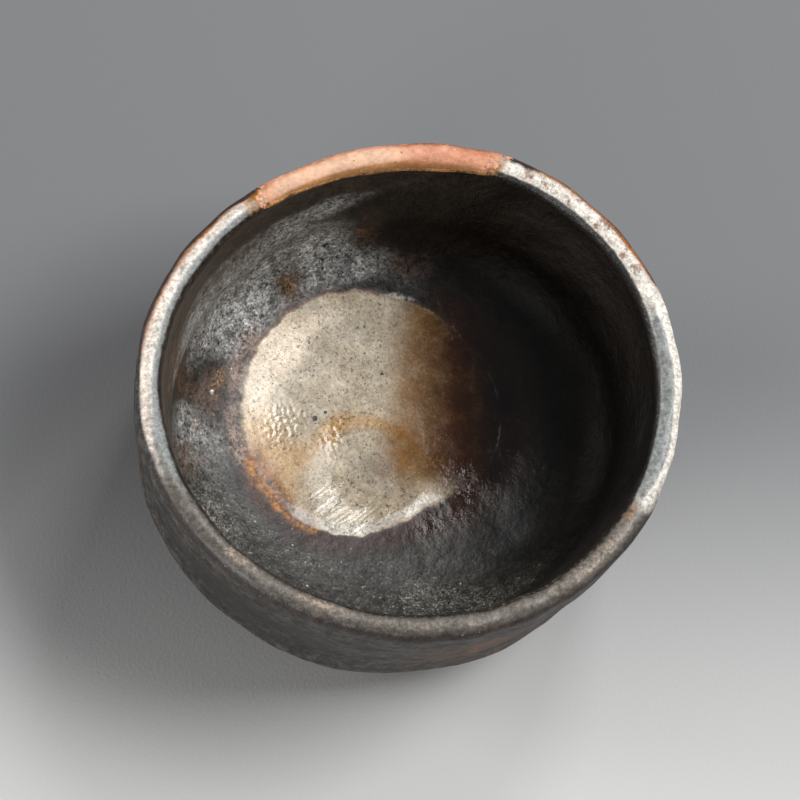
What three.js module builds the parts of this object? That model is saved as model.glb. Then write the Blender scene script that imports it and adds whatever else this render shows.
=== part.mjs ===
// Tea bowl: a hand-formed stoneware body on a luted foot ring, dressed in four coats of glaze.
// Millimetres, +Z up. The origin is the centre of the foot ring's resting face.
import * as THREE from 'three';
import { mergeVertices } from 'three/addons/utils/BufferGeometryUtils.js';

// Driving dimensions of the vessel
const HEIGHT = 64;
const LIP_RADIUS = 58.5;
const LIP_THICKNESS = 5.8;
const LIP_CROWN = 3;
const BELLY_DRAWN_IN = 2.2;
const BELLY_HEIGHT = 28;
const BELLY_WALL = 7;
const INNER_TURN_HEIGHT = 36;
const FLOOR_HEIGHT = 15;
const FLOOR_SPREAD = 28;
const FLOOR_FULLNESS = 0.9;
const SKIRT_FULLNESS = 0.85;

// Driving dimensions of the foot
const FOOT_RADIUS = 27;
const FOOT_HEIGHT = 6;
const FOOT_WIDTH = 7;
const FOOT_FLARE = 1.5;
const FOOT_EDGE = 0.8;
const FOOT_MARGIN = 1.5;
const SKIRT_RISE = 1;

// Driving dimensions of the glaze
const GLAZE = 0.5;
const FIT_GAP = 0.3;
const LIP_GLAZE_INSIDE = 2.6;
const LIP_GLAZE_OUTSIDE = 3.2;
const LIP_GLAZE_SLANT = 1.2;
const LIP_GLAZE_LOW_AT = THREE.MathUtils.degToRad(75);
const EDGE_WANDER = 0.6;
const BARE_CLAY_BAND = 7;
const BARE_LIP_FROM = THREE.MathUtils.degToRad(68);
const BARE_LIP_TO = THREE.MathUtils.degToRad(128);
const BARE_LIP_DIP = 3;
const POOL_REACH = 28.4;
const POOL_SHIFT = 9.9;
const POOL_SHIFT_TOWARDS = THREE.MathUtils.degToRad(117);
const POOL_LOBE = 1.2;
const POOL_SWELL = 0.7;

// How far the hand pressed the bowl out of true
const OVAL = 0.032;
const OVAL_TOWARDS = THREE.MathUtils.degToRad(12);
const CORNER = 0.01;
const CORNER_TOWARDS = THREE.MathUtils.degToRad(60);
const LEAN_X = 0.6;
const LEAN_Y = 0.8;
const LIP_WAVE = 0.5;

// How finely the curves are cut into facets
const SEGMENTS = 48;
const SKIN_DIVISIONS = { floor: 13, innerWall: 4, lip: 7, outerWall: 4, skirt: 7 };
const LEAST_STEP = 0.5;

// Sizes that follow from the driving dimensions
const BELLY_RADIUS = LIP_RADIUS - BELLY_DRAWN_IN;
const INNER_RADIUS = BELLY_RADIUS - BELLY_WALL;
const LIP_INNER_RADIUS = LIP_RADIUS - LIP_THICKNESS;
const LIP_SPRING = HEIGHT - LIP_CROWN;
const COAT_DEPTH = GLAZE + FIT_GAP;
const UNDERSIDE = FOOT_HEIGHT + FIT_GAP;
const SKIRT_RADIUS = FOOT_RADIUS + FOOT_FLARE + FOOT_MARGIN;
const SKIRT_HEIGHT = FOOT_HEIGHT + SKIRT_RISE;

const at = (radius, height) => new THREE.Vector2(radius, height);

// The finished surface in section, as [radius, height]: floor, inside wall, lip, outside wall and skirt.
// Each run leaves and meets its neighbour along the same direction, so the surface has no crease.
function skinRuns() {
  const innerRise = (LIP_SPRING - INNER_TURN_HEIGHT) / 3;
  const outerRise = (LIP_SPRING - BELLY_HEIGHT) / 3;
  const floorTurn = THREE.MathUtils.lerp(INNER_TURN_HEIGHT, FLOOR_HEIGHT, FLOOR_FULLNESS);
  const skirtTurn = THREE.MathUtils.lerp(BELLY_HEIGHT, SKIRT_HEIGHT, SKIRT_FULLNESS);
  const skirtMiddle = (BELLY_RADIUS + SKIRT_RADIUS) / 2;
  const lipCentre = LIP_RADIUS - LIP_THICKNESS / 2;
  return {
    floor: new THREE.CubicBezierCurve(
      at(0, FLOOR_HEIGHT), at(FLOOR_SPREAD, FLOOR_HEIGHT),
      at(INNER_RADIUS, floorTurn), at(INNER_RADIUS, INNER_TURN_HEIGHT)),
    innerWall: new THREE.CubicBezierCurve(
      at(INNER_RADIUS, INNER_TURN_HEIGHT), at(INNER_RADIUS, INNER_TURN_HEIGHT + innerRise),
      at(LIP_INNER_RADIUS, LIP_SPRING - innerRise), at(LIP_INNER_RADIUS, LIP_SPRING)),
    lip: new THREE.EllipseCurve(lipCentre, LIP_SPRING, LIP_THICKNESS / 2, LIP_CROWN, Math.PI, 0, true),
    outerWall: new THREE.CubicBezierCurve(
      at(LIP_RADIUS, LIP_SPRING), at(LIP_RADIUS, LIP_SPRING - outerRise),
      at(BELLY_RADIUS, BELLY_HEIGHT + outerRise), at(BELLY_RADIUS, BELLY_HEIGHT)),
    skirt: new THREE.CubicBezierCurve(
      at(BELLY_RADIUS, BELLY_HEIGHT), at(BELLY_RADIUS, skirtTurn),
      at(skirtMiddle, SKIRT_HEIGHT + SKIRT_RISE), at(SKIRT_RADIUS, SKIRT_HEIGHT)),
  };
}

const runs = skinRuns();
const skin = new THREE.CurvePath();
Object.values(runs).forEach((run) => skin.add(run));
const SKIN_LENGTH = skin.getLength();
const CROWN_AT = runs.floor.getLength() + runs.innerWall.getLength() + runs.lip.getLength() / 2;

// The point at a given distance along the skin from the middle of the floor, sunk into the wall by a depth.
function skinPoint(distance, depth) {
  const share = THREE.MathUtils.clamp(distance / SKIN_LENGTH, 0, 1);
  const point = skin.getPoint(share);
  const along = skin.getTangent(share);
  return at(Math.max(0, point.x + along.y * depth), point.y - along.x * depth);
}

// Distances along the skin where the clay gets a ring of corners: each run is cut into equal steps.
function skinStations() {
  const stations = [0];
  let start = 0;
  for (const [name, run] of Object.entries(runs)) {
    const length = run.getLength();
    const steps = SKIN_DIVISIONS[name];
    for (let step = 1; step <= steps; step += 1) stations.push(start + (length * step) / steps);
    start += length;
  }
  return stations;
}

const STATIONS = skinStations();

// The hand-formed shape: round and level at the foot, then oval, slightly three-cornered and leaning above it.
function handForm(radius, angle, height) {
  const above = height - FOOT_HEIGHT;
  const grown = THREE.MathUtils.clamp(above / (BELLY_HEIGHT - FOOT_HEIGHT), 0, 1);
  const lifted = THREE.MathUtils.clamp(above / (HEIGHT - FOOT_HEIGHT), 0, 1);
  const oval = OVAL * Math.cos(2 * (angle - OVAL_TOWARDS));
  const corner = CORNER * lifted ** 2 * Math.cos(3 * (angle - CORNER_TOWARDS));
  const pressed = radius * (1 + grown * (oval + corner));
  return new THREE.Vector3(
    pressed * Math.cos(angle) + LEAN_X * lifted,
    pressed * Math.sin(angle) + LEAN_Y * lifted,
    height + LIP_WAVE * lifted ** 2 * (radius / LIP_RADIUS) * Math.sin(2 * angle + CORNER_TOWARDS));
}

// One closed body from loose triangles: corners merged, slivers dropped, faces turned outwards.
function closedBody(positions) {
  const loose = new THREE.BufferGeometry();
  loose.setAttribute('position', new THREE.Float32BufferAttribute(positions, 3));
  const merged = mergeVertices(loose);
  const corner = merged.getAttribute('position');
  const index = merged.getIndex().array;
  const [a, b, c] = [new THREE.Vector3(), new THREE.Vector3(), new THREE.Vector3()];
  const faces = [];
  let volume = 0;
  for (let i = 0; i < index.length; i += 3) {
    const [p, q, r] = [index[i], index[i + 1], index[i + 2]];
    if (p === q || q === r || r === p) continue;
    faces.push(p, q, r);
    volume += a.fromBufferAttribute(corner, p).dot(
      b.fromBufferAttribute(corner, q).cross(c.fromBufferAttribute(corner, r)));
  }
  merged.setIndex(volume < 0 ? faces.reverse() : faces);
  merged.computeVertexNormals();
  return merged;
}

// A profile of [radius, height] points turned about the axis and then formed by hand.
function turned(profile) {
  const wheel = new THREE.LatheGeometry(profile, SEGMENTS).toNonIndexed().rotateX(Math.PI / 2);
  const corner = wheel.getAttribute('position');
  const positions = [];
  for (let i = 0; i < corner.count; i += 1) {
    const [x, y, z] = [corner.getX(i), corner.getY(i), corner.getZ(i)];
    positions.push(...handForm(Math.hypot(x, y), Math.atan2(y, x), z));
  }
  return closedBody(positions);
}

// A station of the clay as a coat uses it: those beyond an edge of the coat, or just inside, go to that edge.
function settle(station, from, to) {
  if (station < from + LEAST_STEP) return from;
  return station > to - LEAST_STEP ? to : station;
}

// A coat of glaze laid on the clay between two edges that wander with the angle, corner over corner with the clay.
// swell gives the height of its face above the skin at a share of the way to the second edge.
function coat({ from, to, swell, angles, allRound }) {
  const face = (depth) => angles.map((angle) => STATIONS.map((station) => {
    const distance = settle(station, from(angle), to(angle));
    const point = skinPoint(distance, depth(distance / to(angle)));
    return handForm(point.x, angle, point.y);
  }));
  const outside = face((share) => -swell(share));
  const inside = face(() => GLAZE);
  const rows = STATIONS.length - 1;
  const positions = [];
  const quad = (p, q, r, s) => {
    for (const corner of [p, q, r, p, r, s]) positions.push(corner.x, corner.y, corner.z);
  };
  const columns = angles.length;
  const spans = allRound ? columns : columns - 1;
  for (let i = 0; i < spans; i += 1) {
    const j = (i + 1) % columns;
    for (let row = 0; row < rows; row += 1) {
      quad(outside[i][row], outside[j][row], outside[j][row + 1], outside[i][row + 1]);
      quad(inside[j][row], inside[i][row], inside[i][row + 1], inside[j][row + 1]);
    }
    quad(inside[i][0], inside[j][0], outside[j][0], outside[i][0]);
    quad(outside[i][rows], outside[j][rows], inside[j][rows], inside[i][rows]);
  }
  if (!allRound) {
    const last = columns - 1;
    for (let row = 0; row < rows; row += 1) {
      quad(inside[0][row], outside[0][row], outside[0][row + 1], inside[0][row + 1]);
      quad(outside[last][row], inside[last][row], inside[last][row + 1], outside[last][row + 1]);
    }
  }
  return closedBody(positions);
}

// Angles of the facets' corners, all the way round.
const ROUND = Array.from({ length: SEGMENTS }, (_, i) => (2 * Math.PI * i) / SEGMENTS);

// Angles of the facets' corners from one angle to another, with both ends.
function sweep(from, to) {
  const step = (2 * Math.PI) / SEGMENTS;
  const angles = [from];
  for (let i = Math.floor(from / step) + 1; i * step < to; i += 1) {
    const clear = i * step - from > step / 4 && to - i * step > step / 4;
    if (clear) angles.push(i * step);
  }
  return [...angles, to];
}

// How a glaze edge wanders from its mean line as it goes round.
const wander = (angle, turn) => EDGE_WANDER * (Math.sin(2 * angle + turn) + Math.sin(5 * angle - 2 * turn)) / 2;

// How bare the lip is at an angle: rising from 0 at the ends of the bare stretch to 1 along its middle.
function bareShare(angle) {
  const across = (angle - BARE_LIP_FROM) / (BARE_LIP_TO - BARE_LIP_FROM);
  return Math.sqrt(Math.max(0, Math.sin(Math.PI * THREE.MathUtils.clamp(across, 0, 1))));
}

// Glaze edges, as distances along the skin from the middle of the floor.
const lipInsideEdge = (angle) => CROWN_AT - LIP_GLAZE_INSIDE + wander(angle, 1);
const lipOutsideEdge = (angle) => CROWN_AT + LIP_GLAZE_OUTSIDE
  + LIP_GLAZE_SLANT * Math.cos(angle - LIP_GLAZE_LOW_AT) + wander(angle, 2);
const liningEdge = (angle) => lipInsideEdge(angle) - FIT_GAP - BARE_LIP_DIP * bareShare(angle);
const outerFootEdge = (angle) => SKIN_LENGTH - BARE_CLAY_BAND + wander(angle, 3);
const poolEdge = (angle) => POOL_REACH
  + POOL_SHIFT * Math.cos(angle - POOL_SHIFT_TOWARDS)
  + POOL_LOBE * Math.cos(3 * (angle - CORNER_TOWARDS) + Math.PI);

const level = () => 0;
const domed = (share) => POOL_SWELL * (1 - share ** 2);

function clayBody() {
  const profile = STATIONS.map((distance) => skinPoint(distance, COAT_DEPTH));
  const skirt = profile[profile.length - 1];
  profile[0].x = 0;
  profile.push(at(skirt.x, UNDERSIDE), at(0, UNDERSIDE));
  return turned(profile);
}

function footRing() {
  const inner = FOOT_RADIUS - FOOT_WIDTH;
  const profile = [
    at(inner + FOOT_EDGE, 0), at(FOOT_RADIUS - FOOT_EDGE, 0), at(FOOT_RADIUS, FOOT_EDGE),
    at(FOOT_RADIUS + FOOT_FLARE, FOOT_HEIGHT), at(inner - FOOT_FLARE, FOOT_HEIGHT), at(inner, FOOT_EDGE),
    at(inner + FOOT_EDGE, 0),
  ];
  return turned(profile);
}

function lipGlaze() {
  return coat({
    from: lipInsideEdge,
    to: lipOutsideEdge,
    swell: level,
    angles: sweep(BARE_LIP_TO, BARE_LIP_FROM + 2 * Math.PI),
    allRound: false,
  });
}

function innerGlaze() {
  return coat({
    from: (angle) => poolEdge(angle) + FIT_GAP,
    to: liningEdge,
    swell: level,
    angles: ROUND,
    allRound: true,
  });
}

function wellGlaze() {
  return coat({
    from: () => 0,
    to: poolEdge,
    swell: domed,
    angles: ROUND,
    allRound: true,
  });
}

function outerGlaze() {
  return coat({
    from: (angle) => lipOutsideEdge(angle) + FIT_GAP,
    to: outerFootEdge,
    swell: level,
    angles: ROUND,
    allRound: true,
  });
}

const stoneware = { color: '#b9805c', roughness: 0.85, metalness: 0 };
const ashGlaze = { color: '#c9c2b6', roughness: 0.45, metalness: 0 };
const ironGlaze = { color: '#2b2723', roughness: 0.5, metalness: 0 };
const poolGlaze = { color: '#b7a488', roughness: 0.2, metalness: 0 };

const pieces = [
  ['clay_body', clayBody(), stoneware],
  ['foot_ring', footRing(), stoneware],
  ['lip_glaze', lipGlaze(), ashGlaze],
  ['inner_glaze', innerGlaze(), ironGlaze],
  ['well_glaze', wellGlaze(), poolGlaze],
  ['outer_glaze', outerGlaze(), ironGlaze],
];

const bowl = new THREE.Group();
for (const [name, geometry, finish] of pieces) {
  const mesh = new THREE.Mesh(geometry, new THREE.MeshStandardMaterial(finish));
  mesh.name = name;
  bowl.add(mesh);
}

export default bowl;
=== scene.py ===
"""A hand-formed tea bowl: its fine surfaces, glazes and studio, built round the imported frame."""
import logging
import math
from dataclasses import dataclass, replace
from enum import Enum
from functools import cached_property, partial

import bpy
import numpy as np
from mathutils import Matrix, Vector


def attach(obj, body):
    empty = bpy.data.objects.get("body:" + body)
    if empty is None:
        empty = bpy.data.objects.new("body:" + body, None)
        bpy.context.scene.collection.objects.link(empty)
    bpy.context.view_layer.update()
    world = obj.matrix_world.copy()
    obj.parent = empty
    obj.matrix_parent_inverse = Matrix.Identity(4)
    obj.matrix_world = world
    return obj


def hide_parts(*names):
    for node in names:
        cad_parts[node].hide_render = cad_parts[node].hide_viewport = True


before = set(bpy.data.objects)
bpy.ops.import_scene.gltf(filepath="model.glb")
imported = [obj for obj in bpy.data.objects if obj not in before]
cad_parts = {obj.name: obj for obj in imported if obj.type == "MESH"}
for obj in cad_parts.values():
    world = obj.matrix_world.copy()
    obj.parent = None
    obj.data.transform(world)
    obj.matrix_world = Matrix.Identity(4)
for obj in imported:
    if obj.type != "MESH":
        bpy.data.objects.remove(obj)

log = logging.getLogger("tea_bowl")

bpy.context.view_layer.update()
MM = 0.001
ROOT_BODY = "root"

# The first ring of a surface that starts at the middle of the floor; a fan of faces closes it.
FIRST_RING_MM = 0.05

# Masks say 0 to 1; patches that add up may go past 1, as far as this.
STRONGEST_MASK = 2.0

# One value for each point of a piece's grid.
Grid = np.ndarray


class Close(Enum):
    """How one direction of a grid of points is closed."""

    LOOP = "the last line joins the first"
    FILL = "each end gets faces of its own"


class Slot(Enum):
    """The record's material slots."""

    STONEWARE = "stoneware"
    ASH_GLAZE = "ash_glaze"
    LINING = "iron_glaze_inside"
    POOL = "pool_glaze"
    OUTSIDE = "iron_glaze_outside"


def linear(hex_colour: str) -> tuple[float, float, float, float]:
    """Turns an sRGB hex colour into linear light.

    Args:
        hex_colour: six digits after a hash sign.

    Returns:
        Red, green, blue and an alpha of one.
    """
    parts = [int(hex_colour[start:start + 2], 16) / 255 for start in (1, 3, 5)]
    light = [part / 12.92 if part <= 0.04045 else ((part + 0.055) / 1.055) ** 2.4 for part in parts]
    return light[0], light[1], light[2], 1.0


def smooth_step(value: Grid) -> Grid:
    """Eases from 0 to 1 while the value goes from 0 to 1, and is flat outside that."""
    held = np.clip(value, 0.0, 1.0)
    return held * held * (3 - 2 * held)


def bell(value: Grid) -> Grid:
    """1 where the value is 0, falling off smoothly to both sides."""
    return np.exp(-value ** 2)


def degrees_from(angle: Grid, middle_deg: float) -> Grid:
    """Signed turn from a direction, in degrees, within half a turn either way."""
    turn = angle - math.radians(middle_deg)
    return np.degrees(np.arctan2(np.sin(turn), np.cos(turn)))


def between(value: Grid, low: float, high: float, soft: float) -> Grid:
    """1 from low to high, easing to 0 over a soft band that is centred on each limit."""
    return smooth_step((value - low) / soft + 0.5) * smooth_step((high - value) / soft + 0.5)


def sector(angle: Grid, from_deg: float, to_deg: float, soft_deg: float) -> Grid:
    """1 between two directions, counted anticlockwise, easing to 0 at each."""
    half = ((to_deg - from_deg) % 360) / 2
    return between(degrees_from(angle, from_deg + half), -half, half, soft_deg)


def full_turn(columns: int) -> Grid:
    """Angles of the points in a closed ring."""
    return np.linspace(0, 2 * math.pi, columns, endpoint=False)


def bezier(corners: list[tuple[float, float]], share: Grid) -> Grid:
    """Points on a cubic curve through its first and last corner.

    Args:
        corners: four control points, each a radius and a height.
        share: how far along the curve each point is, from 0 to 1.

    Returns:
        One radius and height per share.
    """
    near = 1 - share
    weights = [near ** 3, 3 * near ** 2 * share, 3 * near * share ** 2, share ** 3]
    return np.stack(weights, axis=-1) @ np.array(corners)


@dataclass(frozen=True)
class Skin:
    """The bowl's finished surface, in millimetres.

    A section of five runs, floor, inner wall, lip, outer wall and skirt, is carried round the axis.
    A place on it is a distance along the section from the middle of the floor, and an angle. The
    hand presses it oval and a little three-cornered and lets it lean, by an amount that grows from
    nothing at the foot to all of it at the lip.
    """

    height: float = 64.0
    lip_radius: float = 58.5
    lip_thickness: float = 5.8
    lip_crown: float = 3.0
    belly_drawn_in: float = 2.2
    belly_height: float = 28.0
    belly_wall: float = 7.0
    inner_turn_height: float = 36.0
    floor_height: float = 15.0
    floor_spread: float = 28.0
    floor_fullness: float = 0.9
    skirt_fullness: float = 0.85
    foot_radius: float = 27.0
    foot_height: float = 6.0
    foot_flare: float = 1.5
    foot_margin: float = 1.5
    skirt_rise: float = 1.0
    oval: float = 0.032
    oval_at_deg: float = 12.0
    corner: float = 0.01
    corner_at_deg: float = 60.0
    grown_over: float = 22.0
    lean: tuple[float, float] = (0.6, 0.8)
    lip_wave: float = 0.5
    lip_wave_at_deg: float = 60.0
    samples: int = 240

    @cached_property
    def section(self) -> dict[str, Grid]:
        """Samples the section.

        Returns:
            Distance, radius, height and the outward normal's two parts, along the section.
        """
        lip_base = self.height - self.lip_crown
        inner_lip = self.lip_radius - self.lip_thickness
        belly = self.lip_radius - self.belly_drawn_in
        inner = belly - self.belly_wall
        turn_height = self.inner_turn_height
        base = self.foot_radius + self.foot_flare + self.foot_margin
        base_height = self.foot_height + self.skirt_rise
        floor_turn = turn_height + self.floor_fullness * (self.floor_height - turn_height)
        skirt_turn = self.belly_height + self.skirt_fullness * (base_height - self.belly_height)
        inner_rise = (lip_base - turn_height) / 3
        outer_rise = (lip_base - self.belly_height) / 3
        share = np.linspace(0, 1, self.samples, endpoint=False)
        turn = math.pi * (1 - share)
        half = self.lip_thickness / 2
        crown_radius = inner_lip + half + half * np.cos(turn)
        crown_height = lip_base + self.lip_crown * np.sin(turn)
        points = np.concatenate([
            bezier([(0, self.floor_height), (self.floor_spread, self.floor_height),
                    (inner, floor_turn), (inner, turn_height)], share),
            bezier([(inner, turn_height), (inner, turn_height + inner_rise),
                    (inner_lip, lip_base - inner_rise), (inner_lip, lip_base)], share),
            np.stack([crown_radius, crown_height], axis=-1),
            bezier([(self.lip_radius, lip_base), (self.lip_radius, lip_base - outer_rise),
                    (belly, self.belly_height + outer_rise), (belly, self.belly_height)], share),
            bezier([(belly, self.belly_height), (belly, skirt_turn),
                    ((belly + base) / 2, base_height + self.skirt_rise), (base, base_height)], share),
            [(base, base_height)],
        ])
        steps = np.linalg.norm(np.diff(points, axis=0), axis=1)
        distance = np.concatenate([[0.0], np.cumsum(steps)])
        tangent = np.gradient(points, distance, axis=0)
        tangent /= np.linalg.norm(tangent, axis=1, keepdims=True)
        return {
            "distance": distance,
            "radius": points[:, 0],
            "height": points[:, 1],
            "normal_out": -tangent[:, 1],
            "normal_up": tangent[:, 0],
        }

    @cached_property
    def crown_at(self) -> float:
        """Distance along the section at which the lip is highest."""
        return float(self.section["distance"][np.argmax(self.section["height"])])

    @cached_property
    def length(self) -> float:
        """Length of the whole section."""
        return float(self.section["distance"][-1])

    def read(self, name: str, distance: Grid) -> Grid:
        """One column of the section at each distance along it."""
        return np.interp(distance, self.section["distance"], self.section[name])

    def radius_at(self, distance: Grid) -> Grid:
        """Radius of the section at each distance along it."""
        return self.read("radius", distance)

    def hand_form(self, radius: Grid, angle: Grid, height: Grid) -> Grid:
        """Presses a round form out of true.

        Args:
            radius: distance from the axis before pressing.
            angle: angle round the axis, in radians.
            height: height before pressing.

        Returns:
            Points as x, y and z, in millimetres.
        """
        above = height - self.foot_height
        grown = np.clip(above / self.grown_over, 0, 1)
        lifted = np.clip(above / (self.height - self.foot_height), 0, 1)
        oval = self.oval * np.cos(2 * (angle - math.radians(self.oval_at_deg)))
        three = np.cos(3 * (angle - math.radians(self.corner_at_deg)))
        pressed = radius * (1 + grown * (oval + self.corner * lifted ** 2 * three))
        wave = self.lip_wave * lifted ** 2 * radius / self.lip_radius
        return np.stack([
            pressed * np.cos(angle) + self.lean[0] * lifted,
            pressed * np.sin(angle) + self.lean[1] * lifted,
            height + wave * np.sin(2 * angle + math.radians(self.lip_wave_at_deg)),
        ], axis=-1)

    def place(self, distance: Grid, angle: Grid, lift: Grid | float = 0.0) -> Grid:
        """Points of the skin, pushed out along the section's normal.

        Args:
            distance: distance along the section.
            angle: angle round the axis, in radians.
            lift: how far out of the skin each point stands.

        Returns:
            Points as x, y and z, in millimetres.
        """
        radius = self.radius_at(distance) + lift * self.read("normal_out", distance)
        height = self.read("height", distance) + lift * self.read("normal_up", distance)
        return self.hand_form(np.maximum(radius, 0.0), angle, height)


@dataclass(frozen=True)
class Patch:
    """A soft-edged place on the skin: where it lies and how far it spreads each way, in millimetres."""

    angle_deg: float
    distance: float
    across: float
    along: float
    strength: float = 1.0

    def at(self, distance: Grid, angle: Grid, radius: Grid) -> Grid:
        """A bell over the skin.

        Args:
            distance: distance along the section.
            angle: angle round the axis, in radians.
            radius: distance from the axis.

        Returns:
            The strength at each point. It falls off with the square of the distance in spreads.
        """
        turn = angle - math.radians(self.angle_deg)
        aside = radius * np.arctan2(np.sin(turn), np.cos(turn)) / self.across
        along = (distance - self.distance) / self.along
        return self.strength * np.exp(-aside ** 2 - along ** 2)


@dataclass(frozen=True)
class Relief:
    """An uneven surface: many sine waves with seeded directions, lengths and phases, summed."""

    seed: int
    longest: float
    shortest: float
    height: float
    waves: int = 40

    def at(self, points: Grid) -> Grid:
        """Height of the relief at each point.

        Args:
            points: places as x, y and z, in millimetres.

        Returns:
            Heights in millimetres. The usual swing either way is the relief's height.
        """
        chance = np.random.default_rng(self.seed)
        heading = chance.normal(size=(self.waves, 3))
        heading /= np.linalg.norm(heading, axis=1, keepdims=True)
        shares = chance.uniform(math.log(self.shortest), math.log(self.longest), self.waves)
        phase = chance.uniform(0, 2 * math.pi, self.waves)
        pace = heading * (2 * math.pi / np.exp(shares))[:, None]
        turns = points.reshape(-1, 3) @ pace.T + phase
        total = np.sin(turns).sum(axis=1) * math.sqrt(2 / self.waves)
        return self.height * total.reshape(points.shape[:-1])


# What the potter left in the clay, and every coat follows: long finger marks, and small grains of sand.
FINGER_MARKS = Relief(51, 30.0, 10.0, 0.14)
SAND = Relief(52, 6.0, 2.0, 0.02, waves=160)


def clay_relief(skin: Skin, distance: Grid, angle: Grid) -> Grid:
    """Unevenness of the clay, in millimetres."""
    points = skin.place(distance, angle)
    return FINGER_MARKS.at(points) + SAND.at(points)


@dataclass(frozen=True)
class EdgeLines:
    """Where the coats stop, in millimetres along the section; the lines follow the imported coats."""

    skin: Skin
    wander_size: float = 0.6
    lip_inside: float = 2.6
    lip_outside: float = 3.2
    lip_slant: float = 1.2
    lip_low_at_deg: float = 75.0
    bare_from_deg: float = 68.0
    bare_to_deg: float = 128.0
    bare_dip: float = 3.0
    bare_band: float = 7.0
    pool_reach: float = 28.4
    pool_shift: float = 9.9
    pool_towards_deg: float = 117.0
    pool_lobe: float = 1.2
    pool_lobe_at_deg: float = 60.0

    def wander(self, angle: Grid, start: float) -> Grid:
        """A line drawn by hand: two sine waves round the bowl."""
        return self.wander_size * (np.sin(2 * angle + start) + np.sin(5 * angle - 2 * start)) / 2

    def bare_share(self, angle: Grid) -> Grid:
        """The bare stretch of the lip as half a sine wave, under a square root that rounds its ends.

        Args:
            angle: angle round the axis, in radians.

        Returns:
            1 in the middle of the stretch, falling to 0 at its two ends and beyond.
        """
        width = math.radians(self.bare_to_deg - self.bare_from_deg)
        turned = np.mod(angle - math.radians(self.bare_from_deg), 2 * math.pi)
        return np.sqrt(np.sin(math.pi * np.clip(turned / width, 0, 1)))

    def lip_inner(self, angle: Grid) -> Grid:
        """Inner edge of the glaze on the lip."""
        return self.skin.crown_at - self.lip_inside + self.wander(angle, 1)

    def lip_outer(self, angle: Grid) -> Grid:
        """Outer edge of the glaze on the lip."""
        slant = self.lip_slant * np.cos(angle - math.radians(self.lip_low_at_deg))
        return self.skin.crown_at + self.lip_outside + slant + self.wander(angle, 2)

    def lining_top(self, angle: Grid) -> Grid:
        """Upper edge of the lining: it dips below the bare stretch."""
        return self.lip_inner(angle) - self.bare_dip * self.bare_share(angle)

    def pool(self, angle: Grid) -> Grid:
        """Edge of the pool: a circle set off to one side, with three slight lobes.

        Args:
            angle: angle round the axis, in radians.

        Returns:
            Distances along the section.
        """
        shift = np.cos(angle - math.radians(self.pool_towards_deg))
        lobes = np.cos(3 * (angle - math.radians(self.pool_lobe_at_deg)) + math.pi)
        return self.pool_reach + self.pool_shift * shift + self.pool_lobe * lobes

    def outer_foot(self, angle: Grid) -> Grid:
        """Lower edge of the outside coat, above the bare clay by the foot."""
        return self.skin.length - self.bare_band + self.wander(angle, 3)


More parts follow.
